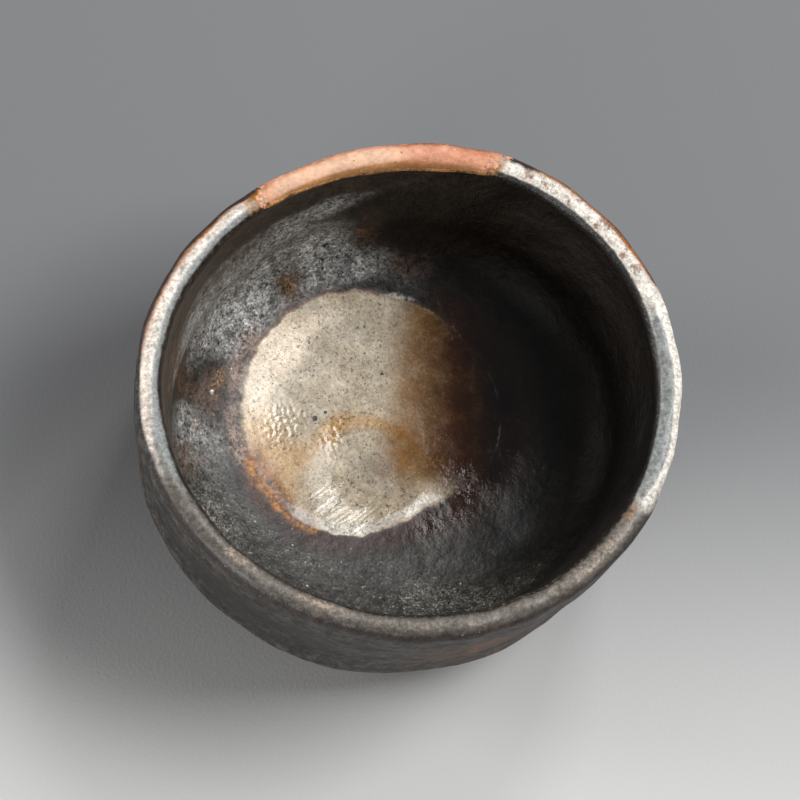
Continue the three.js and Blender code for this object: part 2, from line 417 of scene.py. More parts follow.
@dataclass(frozen=True)
class Firing:
    """What flame and ash left on the skin, as masks from 0 to 1.

    All pieces read the same masks, so that a colour carries on from one piece to the next. Angles
    are in degrees: 0 is the bowl's right, 90 its back, 180 its left and 270 its front.
    """

    skin: Skin
    lines: EdgeLines
    dip_middle: tuple[float, float] = (-5.0, -6.0)
    dip_radius: float = 12.3
    pool_ragged: Relief = Relief(61, 12.0, 2.5, 0.22)

    def masks(self, distance: Grid, angle: Grid) -> dict[str, Grid]:
        """All masks at places on the skin.

        Args:
            distance: distance along the section, in millimetres.
            angle: angle round the axis, in radians.

        Returns:
            An array of values for each mask.
        """
        regions = (self._wall, self._pool, self._lip, self._outside)
        return {name: mask for region in regions for name, mask in region(distance, angle).items()}

    def dip_share(self, distance: Grid, angle: Grid) -> Grid:
        """Distance from the middle of the dip in the pool.

        Args:
            distance: distance along the section, in millimetres.
            angle: angle round the axis, in radians.

        Returns:
            The distance in dip radii.
        """
        radius = self.skin.radius_at(distance)
        aside = radius * np.cos(angle) - self.dip_middle[0]
        away = radius * np.sin(angle) - self.dip_middle[1]
        return np.hypot(aside, away) / self.dip_radius

    def painted(self, distance: Grid, angle: Grid, *patches: Patch) -> Grid:
        """Sum of several patches."""
        radius = self.skin.radius_at(distance)
        return sum(patch.at(distance, angle, radius) for patch in patches)

    def _wall(self, distance: Grid, angle: Grid) -> dict[str, Grid]:
        """The inside wall: silvery bloom with painted sheen at the back left, grey at the front,
        painted shade at the right.

        Brown breaks through the bloom, and a halo lies round the pool.

        Args:
            distance: distance along the section, in millimetres.
            angle: angle round the axis, in radians.

        Returns:
            The wall's masks.
        """
        paint = partial(self.painted, distance, angle)
        past_pool = distance - self.lines.pool(angle)
        # The bloom's sides waver. The bloom is a silvery glaze, lightened further by painted sheen.
        wavy = angle + np.radians(7 * np.sin(distance / 6) + 4 * np.sin(distance / 2.3 + 1))
        return {
            "bloom": 0.85 * sector(wavy, 99, 162, 18) * between(distance, 40, 75, 6) + paint(
                Patch(140, 47, 16, 7, 0.3), Patch(143, 41, 6, 2, 0.5), Patch(180, 46, 9, 10, 0.85),
                Patch(108, 60, 8, 10, 0.3), Patch(84, 43, 8, 5, 0.5)),
            "front": 0.6 * sector(angle, 176, 306, 30) * between(past_pool, 4, 40, 8) + paint(
                Patch(280, 39, 7, 6, 0.3), Patch(311, 48, 15, 7, 0.55), Patch(225, 33, 12, 3, 0.15),
                Patch(205, 45, 10, 6, 0.3)),
            "brown": 0.55 * sector(angle, 125, 182, 14) * bell((distance - 72) / 2.6) + paint(
                Patch(166, 56, 4, 14, 0.8), Patch(96, 57, 4, 8, 0.9), Patch(121, 45, 5, 6, 0.7),
                Patch(82, 45, 7, 5, 0.6), Patch(162, 42, 8, 3.5, 0.8), Patch(350, 22, 8, 6, 0.6),
                Patch(186, 50, 6, 12, 0.5)),
            "ochre": paint(
                Patch(121.5, 45, 3, 4, 0.8), Patch(97, 54, 2, 3, 0.6), Patch(159, 41.5, 6, 2, 0.7),
                Patch(81, 43, 6, 4, 0.4), Patch(176, 45, 4, 4, 0.5)),
            "upper": sector(angle, 66, 190, 20) * smooth_step((distance - 71) / 8),
            # Painted shade: the right wall, which the lamps leave in shadow, is darkened to near black.
            "sooty": sector(angle, 330, 75, 40) * smooth_step((distance - 46) / 16),
            "halo": sector(angle, 186, 300, 24) * bell((past_pool - 2.0) / 4.0),
            "rosy": sector(angle, 135, 190, 20) * bell((past_pool - 2.5) / 3.0),
            "white_dot": paint(Patch(164, 42.2, 0.55, 0.5, 1.4)),
        }

    def _pool(self, distance: Grid, angle: Grid) -> dict[str, Grid]:
        """The pool: peach to the left, rust at the lower left, honey round the dip.

        To the right it turns amber, then umber with painted shade, then black painted shade. The change
        comes later at the height of the dip.

        Args:
            distance: distance along the section, in millimetres.
            angle: angle round the axis, in radians.

        Returns:
            The pool's masks.
        """
        paint = partial(self.painted, distance, angle)
        radius = self.skin.radius_at(distance)
        aside = radius * np.cos(angle)
        away = radius * np.sin(angle)
        ragged = self.pool_ragged.at(self.skin.place(distance, angle))
        inset = self.lines.pool(angle) - distance + ragged
        by_dip = bell((away + 12) / 6)
        right = sector(angle, 294, 62, 40)
        left = sector(angle, 125, 205, 20)
        front = sector(angle, 212, 318, 20)
        ring = bell((self.dip_share(distance, angle) - 1.0) / 0.16) * sector(angle, 20, 182, 24)
        # The pool's edge is sharp at the back and front, soft to the left, and melts away to the right.
        pool = smooth_step(0.5 + inset / (1.3 + 3.5 * left + 7 * right))
        # Umber: the glaze's own amber-brown, darkened towards the right by painted shade from the right
        # wall.
        umber = smooth_step((aside + 2.5 - 0.1 * away - 10 * by_dip) / (22 - 8 * by_dip))
        umber *= 1 - smooth_step(-inset / 15)
        glassy = np.maximum(pool, umber)
        return {
            "pool": pool,
            "flecked": pool * (1 - umber),
            "glassy": glassy,
            "dip": bell((aside - 0.5) / 8) * bell((away + 5.5) / 6.5),
            "crust": 1 - pool,
            "peach": pool * (
                0.8 * sector(angle, 125, 178, 20) * smooth_step((distance - 25) / 6) + paint(
                    Patch(128, 34, 8, 3, 0.7), Patch(172, 29, 5, 4, 0.5), Patch(105, 35, 14, 3, 0.35))),
            "amber": pool * smooth_step((aside + 7.3 - 0.15 * away) / 15) * (1 - 0.8 * by_dip),
            "honey": pool * (0.85 * ring + paint(
                Patch(68, 31, 4, 8, 0.7), Patch(173, 30, 6, 6, 0.9), Patch(163, 13, 7, 3, 0.6),
                Patch(190, 25, 6, 5, 1.0), Patch(205, 24, 4, 2, 0.7), Patch(187, 19, 4, 3, 0.7))),
            "umber": umber,
            # Painted shade: the pool goes near black towards the right wall.
            "burnt": umber * smooth_step((aside - 11) / 18),
            "rust": paint(
                Patch(189, 30, 5, 2.4, 0.9), Patch(203, 27.6, 5, 2.2, 1.0),
                Patch(216, 26.6, 4, 1.9, 1.0), Patch(225, 25.8, 3, 1.5, 0.8)),
            "pool_line": bell((inset - 0.1) / 0.6) * (0.8 * sector(angle, 75, 150, 20) + 0.4 * left),
            # A pale edge along the pool's front, with a painted highlight on it.
            "pale_edge": front * (1 - umber) * bell((inset - 1.6) / 1.6),
            "fringe": paint(Patch(86, 36.6, 3.2, 1.0, 0.8), Patch(80, 36.0, 2.5, 0.9, 0.6)),
            "gloss": glassy * (
                paint(Patch(168, 24, 6, 5), Patch(163, 12.5, 8, 3, 0.8))
                + sector(angle, 212, 300, 20) * between(distance, 11, 24, 5)
                + 0.8 * sector(angle, 290, 352, 16) * between(distance, 9, 24, 5)),
            "glint": sector(angle, 282, 350, 24) * between(distance, 12, 28, 8),
            "iron_spot": paint(
                Patch(157, 17.4, 0.7, 0.5, 1.5), Patch(148.5, 16, 0.4, 0.4, 1.3),
                Patch(90.5, 17.8, 0.45, 0.3, 1.4), Patch(98, 29.5, 0.35, 0.3, 1.3),
                Patch(197, 28.2, 0.4, 0.5, 1.2)),
        }

    def _lip(self, distance: Grid, angle: Grid) -> dict[str, Grid]:
        """The lip: milky to the right and left, dull at the front, bare and flashed at the back.

        Args:
            distance: distance along the section, in millimetres.
            angle: angle round the axis, in radians.

        Returns:
            The lip's masks.
        """
        paint = partial(self.painted, distance, angle)
        past = distance - self.skin.crown_at
        front = sector(angle, 196, 338, 26)
        left = sector(angle, 124, 230, 10) * sector(angle, 60, 198, 40)
        right = sector(angle, 330, 70, 8)
        far_right = sector(angle, 332, 18, 24)
        back_right = sector(angle, 22, 66, 10)
        # The ends of the bare stretch slant across the lip.
        slanted = angle + np.radians(0.5 * past)
        bare_low = self.lines.lining_top(angle) - self.skin.crown_at
        bare_high = self.lines.lip_outer(angle) - self.skin.crown_at + 2.5
        bare = sector(slanted, 67.5, 127, 9)
        bare *= smooth_step((past - bare_low) / 1.2 + 0.5)
        bare *= smooth_step((bare_high - past) / 1.6 + 0.5)
        lip = between(past, -1.9, 2.6 + 2.2 * right - 0.2 * left, 1.5)
        inner_half = lip * smooth_step((0.2 + 1.4 * far_right - past) / 1.6)
        ends = self.painted(
            distance, slanted, Patch(128.5, 91.5, 3.2, 4.0, 1.1), Patch(67.5, 88.5, 1.6, 3, 1.0))
        return {
            "lip": lip,
            "milk": between(past, -1.7, 2.1 + 2.6 * right, 1.4) * (0.95 * right + 0.62 * left),
            "lip_grey": inner_half * (1.0 * left + 1.1 * far_right) + paint(
                Patch(345, 89.5, 9, 2, 0.8), Patch(25, 93, 3, 1.6, 0.7), Patch(195, 90, 9, 3, 0.7)),
            "cream": 0.7 * lip * left * smooth_step((past + 0.2) / 1.6),
            "tan": front * between(past, -1.6, 1.4, 1.6) * 0.5 + paint(
                Patch(224, 89, 4.5, 1.2, 0.8), Patch(246, 89, 6, 1.2, 0.8), Patch(314, 90, 9, 2, 0.5)),
            "gold": ends + paint(Patch(328, 89, 3, 1.4, 0.5), Patch(58, 93, 5, 1.6, 0.5)),
            "rust_lip": 0.85 * back_right * between(past, 1.5, 4.5, 2.0) + paint(
                Patch(36, 93.8, 4.5, 2.0, 1.1), Patch(127, 93, 3.0, 2.5, 1.1),
                Patch(48, 92.8, 3, 1.0, 0.6), Patch(140, 91.7, 12, 1.0, 0.7),
                Patch(163, 91.9, 14, 1.0, 0.6)),
            # Dark spots on the lip's outer edge; the band on the front lip's outer side is painted
            # shade.
            "dark_lip": 0.7 * front * between(past, 2, 5, 2) + paint(
                Patch(63.5, 92.3, 4, 1.5, 1.4), Patch(45, 93.0, 22, 0.9, 0.9),
                Patch(135, 92.7, 13, 1.2, 1.1), Patch(129.5, 93, 2.5, 1.6, 0.9),
                Patch(25, 93.4, 3, 1.4, 0.8), Patch(162, 93.0, 14, 1.3, 0.9)),
            "lip_spots": lip * (0.4 + 0.35 * sector(angle, 20, 64, 20)),
            "bare": bare,
            "peach_clay": bare * sector(angle, 90, 124, 16) * between(past, -2.2, 1.6, 1.6),
            "gold_clay": bare * smooth_step((-1.6 - past) / 1.6),
            "red_clay": bare * (
                0.45 * sector(angle, 66, 92, 14) + 0.45 * smooth_step((past - 1.2) / 2)),
        }

    def _outside(self, distance: Grid, angle: Grid) -> dict[str, Grid]:
        """The outside: charcoal with rust low down, soot with painted shade at the front left, ash
        below the lip, and bare clay by the foot.

        Args:
            distance: distance along the section, in millimetres.
            angle: angle round the axis, in radians.

        Returns:
            The outside's masks.
        """
        paint = partial(self.painted, distance, angle)
        past = distance - self.skin.crown_at
        to_foot = distance - self.lines.outer_foot(angle)
        return {
            "outside": smooth_step((past - 2.2) / 2),
            "rust_low": 0.6 * smooth_step((distance - 118) / 35) + paint(
                Patch(288, 114, 22, 12, 0.7), Patch(60, 130, 30, 14, 0.5),
                Patch(170, 128, 24, 10, 0.5)),
            # Soot patches; the one at the front left is painted shade.
            "soot": paint(
                Patch(230, 112, 28, 14, 0.7), Patch(0, 122, 20, 12, 0.6),
                Patch(130, 112, 22, 10, 0.6)),
            "ash": 0.45 * (1 - smooth_step((past - 3) / 14)) + paint(
                Patch(45, 108, 26, 12, 0.5), Patch(320, 106, 20, 9, 0.4),
                Patch(190, 110, 14, 9, 0.3)),
            "foot": smooth_step(to_foot / 1.4 + 0.5),
        }


@dataclass(frozen=True)
class Stain:
    """A colour, a roughness or both, laid where a mask, broken up by a noise, passes a level."""

    colour: str | None
    mask: str
    grain_mm: float
    ragged: float = 0.6
    level: float = 0.5
    soft: float = 0.2
    strength: float = 1.0
    roughness: float | None = None


@dataclass(frozen=True)
class Specks:
    """Scattered dots: one may lie in each cell of a given spacing, and it fades outside its core."""

    colour: str
    spacing_mm: float
    size_mm: float
    share: float
    mask: str = ""
    strength: float = 1.0
    core: float = 0.5


@dataclass(frozen=True)
class Grain:
    """A crust too fine for the mesh, with painted shade in its hollows and painted light on its tops. A
    mask may set its strength.
    """

    size_mm: float
    height_mm: float
    shade: float
    mask: str = ""
    off_mask: float = 1.0
    on_mask: float = 1.0


@dataclass(frozen=True)
class Cloud:
    """How a cloudy noise is drawn, and the range in which most of its values lie."""

    detail: float
    roughness: float = 0.5
    usual: tuple[float, float] = (0.35, 0.65)


MOTTLE_CLOUD = Cloud(6.0, 0.7)
CRUMB_CLOUD = Cloud(4.0, 0.6, (0.3, 0.7))
SOFT_CLOUD = Cloud(2.0)


def per_mm(size_mm: float) -> float:
    """Texture scale at which one cell of a pattern is this size."""
    return 1 / (size_mm * MM)


class NodeSheet:
    """A material's nodes, put in one at a time."""

    def __init__(self, tree: bpy.types.NodeTree) -> None:
        """Clears the tree."""
        self.tree = tree
        tree.nodes.clear()

    def add(self, kind: str, inputs: dict[str | int, object], out: str | int = 0,
            **settings: object) -> object:
        """Adds one node.

        Args:
            kind: the node's type name.
            inputs: a value or another node's socket for each input.
            out: which output is wanted.
            settings: the node's own properties.

        Returns:
            The wanted output, or None where the node has none.
        """
        node = self.tree.nodes.new(kind)
        for name, setting in settings.items():
            setattr(node, name, setting)
        for name, value in inputs.items():
            if isinstance(value, bpy.types.NodeSocket):
                self.tree.links.new(value, node.inputs[name])
            else:
                node.inputs[name].default_value = value
        return node.outputs[out] if node.outputs else None

    def calculate(self, operation: str, *values: object, **settings: object) -> object:
        """Adds a node that works out one value from two or three."""
        return self.add("ShaderNodeMath", dict(enumerate(values)), operation=operation, **settings)

    def mix(self, share: object, under: object, over: object) -> object:
        """Adds a node that lays one colour over another."""
        return self.add("ShaderNodeMix", {0: share, 6: under, 7: over}, 2, data_type="RGBA")

    def remap(self, value: object, old: tuple[float, float], new: tuple[float, float] = (0.0, 1.0),
              **settings: object) -> object:
        """Adds a node that carries one range of values over to another, and holds at its ends."""
        inputs = {"Value": value, 1: old[0], 2: old[1], 3: new[0], 4: new[1]}
        return self.add("ShaderNodeMapRange", inputs, **settings)

    def noise(self, place: object, size_mm: float, cloud: Cloud, out: str | int = 0) -> object:
        """Adds a cloudy noise whose largest lumps have the given size."""
        look = {"Detail": cloud.detail, "Roughness": cloud.roughness}
        return self.add("ShaderNodeTexNoise", {"Vector": place, "Scale": per_mm(size_mm), **look}, out)


@dataclass(frozen=True)
class Finish:
    """A fired surface: two mottled colours, stains over them, specks on top, and grain in the light."""

    name: str
    colour: str
    mottle_colour: str
    roughness: float
    stains: tuple[Stain, ...]
    specks: tuple[Specks, ...]
    grains: tuple[Grain, ...]
    mottle_mm: float = 5.0
    wobble_mm: float = 0.4
    ior: float = 1.5

    def mask_names(self) -> set[str]:
        """Names of all masks that the finish reads."""
        layers = self.stains + self.specks + self.grains
        return {layer.mask for layer in layers} - {""}

    def build(self) -> bpy.types.Material:
        """Makes the material's nodes.

        Returns:
            The material.
        """
        material = bpy.data.materials.new(self.name)
        material.use_nodes = True
        sheet = NodeSheet(material.node_tree)
        place = sheet.add("ShaderNodeTexCoord", {}, "Object")
        sizes = sorted({self.mottle_mm} | {stain.grain_mm for stain in self.stains})
        noise = {size: sheet.noise(place, size, MOTTLE_CLOUD) for size in sizes}
        masks = {
            name: sheet.add("ShaderNodeAttribute", {}, "Fac", attribute_name=name)
            for name in sorted(self.mask_names())
        }
        even = sheet.remap(noise[self.mottle_mm], MOTTLE_CLOUD.usual)
        colour = sheet.mix(even, linear(self.colour), linear(self.mottle_colour))
        roughness: object = self.roughness
        for stain in self.stains:
            swing = sheet.calculate(
                "MULTIPLY_ADD", noise[stain.grain_mm], 2 * stain.ragged, 1 - stain.ragged)
            broken = sheet.calculate("MULTIPLY", swing, masks[stain.mask])
            cover = sheet.remap(broken, (stain.level - stain.soft, stain.level + stain.soft),
                                (0.0, stain.strength), interpolation_type="SMOOTHSTEP")
            if stain.colour is not None:
                colour = sheet.mix(cover, colour, linear(stain.colour))
            if stain.roughness is not None:
                roughness = sheet.add("ShaderNodeMix", {0: cover, 2: roughness, 3: stain.roughness})
        colour = self._speckle(sheet, place, masks, colour)
        colour, normal = self._crust(sheet, place, masks, colour)
        surface = sheet.add("ShaderNodeBsdfPrincipled", {
            "Base Color": colour, "Roughness": roughness, "IOR": self.ior, "Normal": normal,
        })
        sheet.add("ShaderNodeOutputMaterial", {"Surface": surface})
        return material

    def _speckle(self, sheet: NodeSheet, place: object, masks: dict[str, object],
                 colour: object) -> object:
        """Lays each kind of speck over the colour: a dot round the middle of some cells.

        Args:
            sheet: the material's nodes.
            place: the socket that gives a point's place.
            masks: the socket of each mask.
            colour: the colour so far.

        Returns:
            The speckled colour. The dots have wobbled outlines.
        """
        drift = sheet.noise(place, 2 * self.wobble_mm, SOFT_CLOUD, "Color")
        wobbled = sheet.add("ShaderNodeVectorMath", {
            0: drift, 1: (self.wobble_mm * MM,) * 3, 2: place,
        }, operation="MULTIPLY_ADD")
        for specks in self.specks:
            scale = per_mm(specks.spacing_mm)
            cells = sheet.add("ShaderNodeTexVoronoi", {"Vector": wobbled, "Scale": scale})
            chance = sheet.add("ShaderNodeSeparateColor", {0: cells.node.outputs["Color"]})
            chosen = sheet.calculate("LESS_THAN", chance, specks.share)
            reach = specks.size_mm / specks.spacing_mm
            dot = sheet.remap(cells, (reach, reach * specks.core), (0.0, specks.strength))
            cover = sheet.calculate("MULTIPLY", dot, chosen)
            if specks.mask:
                cover = sheet.calculate("MULTIPLY", cover, masks[specks.mask], use_clamp=True)
            colour = sheet.mix(cover, colour, linear(specks.colour))
        return colour

    def _crust(self, sheet: NodeSheet, place: object, masks: dict[str, object],
               colour: object) -> tuple[object, object]:
        """Paints shade into the colour in each grain's hollows and light on its tops, and chains one
        bump per grain.

        Args:
            sheet: the material's nodes.
            place: the socket that gives a point's place.
            masks: the socket of each mask.
            colour: the colour so far.

        Returns:
            The colour with its painted shade and light, and the normal. Each bump lies on top of the
            one before.
        """
        normal = None
        for grain in self.grains:
            height = sheet.noise(place, grain.size_mm, CRUMB_CLOUD)
            bump = {"Distance": grain.height_mm * MM, "Height": height, "Strength": 1.0}
            # Painted shade and light: darker in the hollows, lighter on the tops.
            lit = sheet.remap(height, CRUMB_CLOUD.usual, (-grain.shade, grain.shade))
            if grain.mask:
                strength = sheet.remap(masks[grain.mask], (0.0, 1.0), (grain.off_mask, grain.on_mask))
                lit = sheet.calculate("MULTIPLY", lit, strength)
                bump["Strength"] = strength
            level = sheet.calculate("ADD", lit, 1.0)
            colour = sheet.add("ShaderNodeVectorMath", {0: colour, 3: level}, operation="SCALE")
            if normal is not None:
                bump["Normal"] = normal
            normal = sheet.add("ShaderNodeBump", bump)
        return colour, normal


WALL_STAINS = (
    Stain("#2c221c", "upper", 5.0, ragged=0.8, soft=0.35),
    # Near black painted shade on the right wall.
    Stain("#070606", "sooty", 5.0, ragged=0.6, soft=0.4, roughness=0.4),
    Stain("#393834", "front", 3.0, ragged=1.1, level=0.45, soft=0.35),
    Stain("#6b6962", "front", 1.1, ragged=2.6, level=0.95, soft=0.3),
    Stain("#85827a", "front", 0.6, ragged=2.8, level=1.15, soft=0.3, roughness=0.36),
    # Bloom: silvery glaze with painted sheen in its greys.
    Stain("#605f5c", "bloom", 5.0, ragged=1.2, level=0.38, soft=0.35),
    Stain("#8b8a87", "bloom", 3.0, ragged=1.6, level=0.75, soft=0.5),
    Stain("#bdbcb8", "bloom", 0.6, ragged=2.0, level=1.2, soft=0.45, strength=0.7, roughness=0.36),
    Stain("#34221b", "halo", 3.0, ragged=0.9, level=0.45, soft=0.35),
    Stain("#8a7468", "rosy", 1.1, ragged=1.9, level=0.7, soft=0.4),
    Stain("#463326", "brown", 3.0, ragged=1.3, level=0.42, soft=0.35),
    Stain("#957046", "ochre", 0.6, ragged=2.6, level=0.75, soft=0.35),
    Stain("#0c0a09", "crust", 1.1, ragged=2.6, level=1.45, soft=0.2),
    Stain("#efe8da", "white_dot", 1.1, ragged=0.2),
)

POOL_STAINS = (
    Stain("#b0a189", "pool", 1.1, ragged=0.7, soft=0.2, roughness=0.34),
    Stain("#c6baa6", "pool", 5.0, ragged=2.0, level=1.2, soft=0.5, strength=0.7),
    Stain("#675c4e", "dip", 5.0, ragged=0.9, level=0.6, soft=0.6, strength=0.85),
    Stain("#ead6bb", "peach", 3.0, ragged=0.8, soft=0.45),
    Stain("#b5894c", "honey", 1.1, ragged=1.4, level=0.55, soft=0.55, strength=0.8),
    Stain("#7a5119", "amber", 5.0, ragged=0.9, level=0.5, soft=0.5, strength=0.94),
    # Umber is partly painted shade; the near black after it is painted shade alone.
    Stain("#33190a", "umber", 5.0, ragged=0.6, level=0.55, soft=0.55, roughness=0.12),
    Stain("#0e0908", "burnt", 5.0, ragged=0.6, level=0.55, soft=0.55),
    Stain("#98642c", "rust", 3.0, ragged=1.0, level=0.36, soft=0.32),
    Stain("#5a3418", "rust", 1.1, ragged=2.0, level=0.95, soft=0.35),
    # Pale front edge of the pool, partly a painted highlight.
    Stain("#e8e5de", "pale_edge", 3.0, ragged=1.0, soft=0.4, strength=0.5),
    Stain("#5a3526", "pool_line", 1.1, ragged=1.5, soft=0.4, strength=0.8),
    Stain("#b5afa3", "fringe", 1.1, ragged=1.8, level=0.6, soft=0.35),
    Stain("#5f5546", "flecked", 1.1, ragged=2.4, level=1.45, soft=0.25, strength=0.8),
    Stain("#2a241d", "flecked", 0.6, ragged=2.6, level=1.56, soft=0.12, strength=0.9),
    Stain("#17130f", "iron_spot", 1.1, ragged=0.8),
    Stain(None, "gloss", 3.0, ragged=0.8, soft=0.35, roughness=0.08),
)

# The lip's glaze runs on over its neighbours: its body over the lining, its burnt ends over the clay.
LIP_BODY = (
    Stain("#534e48", "lip", 3.0, ragged=0.8, soft=0.3, roughness=0.42),
    Stain("#dcd5ca", "milk", 3.0, ragged=1.0, level=0.45, soft=0.3, roughness=0.38),
    Stain("#7d807e", "lip_grey", 3.0, ragged=1.0, soft=0.35),
)
LIP_ENDS = (
    Stain("#9a6a30", "gold", 1.1, ragged=1.5, soft=0.4),
    Stain("#9a5a24", "rust_lip", 1.1, ragged=1.4, soft=0.35),
)
LIP_STAINS = (
    *LIP_BODY,
    Stain("#ecd8ca", "cream", 3.0, ragged=0.9, soft=0.4),
    Stain("#6f665d", "tan", 3.0, ragged=1.6, level=0.5, soft=0.35),
    Stain("#968471", "tan", 1.1, ragged=2.2, level=1.15, soft=0.4, strength=0.8),
    Stain("#75503f", "lip_spots", 3.0, ragged=2.2, level=0.9, soft=0.25, strength=0.85),
    Stain("#4a4540", "lip_spots", 1.1, ragged=2.4, level=1.15, soft=0.3, strength=0.8),
    *LIP_ENDS,
    # Dark spots on the lip's outer edge, with painted shade on the front lip's outer side.
    Stain("#30241e", "dark_lip", 3.0, ragged=1.3, soft=0.35),
)

BARE_CLAY = Stain("#d09475", "bare", 1.1, ragged=2.2, soft=0.2, roughness=0.58)
GOLD_CLAY = Stain("#b3814f", "gold_clay", 3.0, ragged=0.9, soft=0.4)
CLAY_TINTS = (
    Stain("#ddb294", "peach_clay", 3.0, ragged=1.1, soft=0.45),
    GOLD_CLAY,
    Stain("#b06c4c", "red_clay", 3.0, ragged=1.4, soft=0.4),
    Stain("#5f3624", "red_clay", 1.1, ragged=2.4, level=0.95, soft=0.25, strength=0.8),
)
FOOT_CLAY = Stain("#7f5f49", "foot", 5.0, ragged=0.5)

OUTSIDE_STAINS = (
    Stain("#292623", "outside", 5.0, ragged=0.6, soft=0.25),
    Stain("#47433d", "outside", 3.0, ragged=2.4, level=1.1, soft=0.4),
    Stain("#1b1815", "outside", 3.0, ragged=-2.4, level=1.2, soft=0.4),
    Stain("#15120f", "outside", 1.1, ragged=2.4, level=1.4, soft=0.3),
    Stain("#5f4029", "rust_low", 5.0, ragged=1.2, soft=0.4),
    # Soot, with painted shade at the front left.
    Stain("#1f1a17", "soot", 3.0, ragged=1.3, level=0.45, soft=0.4),
    Stain("#5f5a52", "ash", 1.1, ragged=2.0, level=0.65, soft=0.35),
)

# The crust is calm where the glaze is glassy. Its finest grain, really some 0.1 mm, is drawn at 0.5 mm.
CRUST = (
    Grain(7.0, 0.5, 0.3, "glassy", on_mask=0.35),
    Grain(2.4, 0.26, 0.65, "glassy", on_mask=0.25),
    Grain(0.7, 0.1, 0.7, "glassy", on_mask=0.4),
    Grain(0.5, 0.025, 0.0, "gloss", off_mask=0.0),
    Grain(0.9, 0.12, 0.0, "glint", off_mask=0.0),
)

# Iron glaze inside: a rough charcoal crust, with a silvery bloom, lightened by painted sheen, that
# breaks to brown.
LINING = Finish(
    name="crusted iron glaze", colour="#0d0b0a", mottle_colour="#1b1714", roughness=0.5,
    stains=WALL_STAINS + POOL_STAINS + LIP_BODY + (BARE_CLAY, GOLD_CLAY),
    specks=(
        Specks("#0c0b0a", 0.9, 0.25, 0.4, strength=0.8),
        Specks("#c9c3b2", 2.2, 0.3, 0.3, "front", 0.9),
        Specks("#e0dfda", 1.1, 0.2, 0.25, "bloom", 0.7),
    ),
    grains=CRUST,
)

# Thick ash glaze, run to the bottom: satin, cream, flecked with iron, amber and rust at its edges.
POOL = replace(
    LINING, name="pooled ash glaze",
    stains=WALL_STAINS + POOL_STAINS,
    specks=(
        Specks("#2b241c", 0.8, 0.17, 0.4, "flecked", 0.8),
        Specks("#2b241c", 2.4, 0.3, 0.5, "flecked", 0.9),
        Specks("#d8cdb9", 0.7, 0.18, 0.3, "flecked", 0.4),
    ),
)

# Ash glaze on the lip, run by the fire: satin, milky where it lies thick and dull brown where thin.
ASH_GLAZE = Finish(
    name="satin ash glaze", colour="#110f0d", mottle_colour="#211d19", roughness=0.46,
    stains=OUTSIDE_STAINS + LIP_STAINS + (BARE_CLAY,) + CLAY_TINTS,
    specks=(
        Specks("#5a4030", 1.1, 0.22, 0.5, "lip_spots", 0.9),
        Specks("#8e8a84", 0.8, 0.2, 0.5, "lip_spots", 0.6),
    ),
    grains=(Grain(4.0, 0.2, 0.15), Grain(1.1, 0.14, 0.4), Grain(0.6, 0.06, 0.35)),
)

# Bare stoneware: matt and sandy, salmon where the flame flashed it, brown by the foot.
STONEWARE = Finish(
    name="bare flashed stoneware", colour="#cf8e6e", mottle_colour="#dca487", roughness=0.58,
    stains=CLAY_TINTS + LIP_ENDS + (FOOT_CLAY,),
    specks=(
        Specks("#6b4428", 1.6, 0.25, 0.4, strength=0.8),
        Specks("#f4e6d8", 1.3, 0.2, 0.2, strength=0.6),
    ),
    grains=(Grain(4.0, 0.2, 0.12), Grain(1.1, 0.12, 0.2)),
)

# Iron glaze outside: satin charcoal, broken to rust low down, dusted with ash.
OUTSIDE = replace(
    ASH_GLAZE, name="satin iron glaze", roughness=0.6,
    stains=ASH_GLAZE.stains + (FOOT_CLAY,),
    specks=(
        Specks("#15110e", 1.3, 0.28, 0.4, strength=0.8),
        Specks("#8d857a", 1.8, 0.25, 0.25, strength=0.6),
    ),
    grains=(Grain(8.0, 0.9, 0.35), Grain(2.4, 0.5, 0.5), Grain(0.7, 0.16, 0.6)),
)


def grid_faces(rows: int, columns: int, row_close: Close, column_close: Close) -> list[list[int]]:
    """Lists the faces over a grid of points.

    Each face joins four neighbours. A filled row end is a fan of triangles to a middle point, and
    the two middle points follow the grid's own. A filled column end is one many-sided face.

    Args:
        rows: number of rows of points.
        columns: number of points in a row.
        row_close: how the first and last row are closed.
        column_close: how the first and last column are closed.

    Returns:
        The point numbers of each face.
    """
    row, column = np.meshgrid(
        np.arange(rows if row_close is Close.LOOP else rows - 1),
        np.arange(columns if column_close is Close.LOOP else columns - 1),
        indexing="ij",
    )
    here = row * columns
    above = (row + 1) % rows * columns
    beside = (column + 1) % columns
    corners = [here + column, here + beside, above + beside, above + column]
    faces = np.stack(corners, axis=-1).reshape(-1, 4).tolist()
    if row_close is Close.FILL:
        around = np.arange(columns)
        following = np.roll(around, -1)
        last_row = (rows - 1) * columns
        middle = np.full(columns, rows * columns)
        faces += np.stack([following, around, middle], axis=-1).tolist()
        faces += np.stack([last_row + around, last_row + following, middle + 1], axis=-1).tolist()
    if column_close is Close.FILL:
        spine = np.arange(rows) * columns
        faces += [spine.tolist(), (spine + columns - 1)[::-1].tolist()]
    return faces


def with_middles(values: Grid, row_close: Close) -> Grid:
    """Flattens a grid's values.

    Args:
        values: the grid, by row and column.
        row_close: how the first and last row are closed.

    Returns:
        The values in a row, with the mean of the first and of the last row where rows are filled.
    """
    flat = values.reshape(values.shape[0] * values.shape[1], *values.shape[2:])
    if row_close is Close.LOOP:
        return flat
    return np.concatenate([flat, values[[0, -1]].mean(axis=1)])


